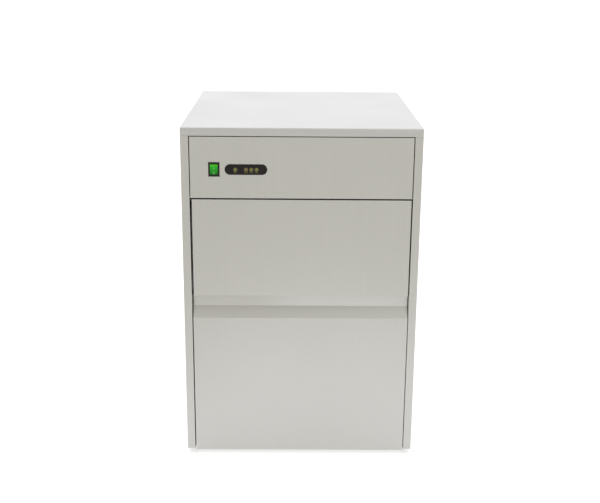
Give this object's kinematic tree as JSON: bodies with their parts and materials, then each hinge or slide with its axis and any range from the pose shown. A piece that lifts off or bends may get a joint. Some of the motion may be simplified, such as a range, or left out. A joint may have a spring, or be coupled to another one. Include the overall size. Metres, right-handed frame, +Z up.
{
  "type": "undercounter ice maker",
  "caption": "Stainless undercounter ice maker: flip-up bin door over a finger-pull trough, rocker switch and lamp plate, insulated bin, tilting-tray ice unit, compressor and fan.",
  "frame": {"origin": "centre of the footprint, on the floor under the feet", "axes": "+Z up, front faces -Y, +X to the viewer's right when facing the front"},
  "size_m": [0.455, 0.5286, 0.672],
  "materials": {
    "stainless": "vertical brushed stainless",
    "zinc_sheet": "plain zinc-coated sheet",
    "foam": "closed-cell foam",
    "liner_plastic": "smooth white",
    "black_plastic": "satin black",
    "plate_plastic": "satin dark grey",
    "rubber": "matte black",
    "gasket_rubber": "soft grey",
    "bright_steel": "turned steel",
    "nylon": "natural nylon",
    "green_rocker": "translucent green",
    "green_lens": "diffuse lens",
    "amber_lens": "diffuse lens",
    "circuit_board": "solder mask",
    "hose": "soft pale hose",
    "plated_copper": "bright plating",
    "copper": "plain drawn copper",
    "black_paint": "black paint",
    "aluminium": "bare aluminium",
    "fan_plastic": "moulded black",
    "valve_plastic": "moulded white"
  },
  "bodies": {
    "cabinet": {"feet": "rubber", "base_pan": "zinc_sheet", "left_side_panel": "stainless", "right_side_panel": "stainless", "rear_panel": "zinc_sheet", "top_cover": "stainless", "deck_plate": "zinc_sheet", "front_cross_rail": "zinc_sheet", "control_panel": "stainless", "lower_front_panel": "stainless", "door_pivot_pins": "bright_steel", "switch_housing": "black_plastic", "indicator_plate": "plate_plastic", "run_indicator_leds": "green_lens", "fault_indicator_led": "amber_lens", "indicator_board": "circuit_board", "control_box": "black_plastic", "bin_insulation": "foam", "bin_liner": "liner_plastic", "upper_bulkhead": "liner_plastic", "top_insulation": "foam", "bin_drain_strainer": "nylon", "drain_hose": "hose", "ice_maker_frame": "stainless", "evaporator": "plated_copper", "evaporator_coil": "copper", "evaporator_hangers": "bright_steel", "tray_bushes": "nylon", "tray_gearmotor": "black_plastic", "bin_switch": "black_plastic", "compressor": "black_paint", "compressor_mounts": "rubber", "compressor_bolts": "bright_steel", "terminal_cover": "black_plastic", "condenser": "aluminium", "fan_shroud": "zinc_sheet", "fan_bracket": "zinc_sheet", "fan_motor": "black_paint", "filter_drier": "copper", "suction_line": "copper", "discharge_line": "copper", "liquid_line": "copper", "capillary_line": "copper", "fill_tube": "hose", "water_inlet_valve": "valve_plastic", "drain_outlet": "black_plastic", "cord_gland": "black_plastic"},
    "door": {"door_skin": "stainless", "door_insulation": "foam", "door_liner": "liner_plastic", "door_gasket": "gasket_rubber", "door_pivot_bushes": "black_plastic"},
    "rocker": {"switch_rocker": "green_rocker"},
    "tray": {"water_tray": "liner_plastic", "tray_shaft": "bright_steel", "paddle_motor": "black_plastic"},
    "paddles": {"paddle_shaft": "nylon"},
    "fan": {"fan_blade": "fan_plastic"},
    "lever": {"bin_full_lever": "nylon"}
  },
  "joints": [
    {"name": "door_hinge", "type": "hinge", "parent": "cabinet", "child": "door", "pos_m": [0, -0.255, 0.5223], "axis": [-1, 0, 0], "range_deg": [0, 95]},
    {"name": "rocker_tilt", "type": "hinge", "parent": "cabinet", "child": "rocker", "pos_m": [-0.165, -0.2623, 0.5925], "axis": [1, 0, 0], "range_deg": [0, 18]},
    {"name": "tray_tilt", "type": "hinge", "parent": "cabinet", "child": "tray", "pos_m": [0, 0.045, 0.59], "axis": [1, 0, 0], "range_deg": [0, 75]},
    {"name": "paddle_spin", "type": "hinge", "parent": "tray", "child": "paddles", "pos_m": [0, -0.012, 0.547], "axis": [1, 0, 0], "continuous": true},
    {"name": "fan_spin", "type": "hinge", "parent": "cabinet", "child": "fan", "pos_m": [-0.095, 0.167, 0.095], "axis": [0, 1, 0], "continuous": true},
    {"name": "lever_swing", "type": "hinge", "parent": "cabinet", "child": "lever", "pos_m": [0.16, -0.037, 0.601], "axis": [1, 0, 0], "range_deg": [0, 25]}
  ]
}
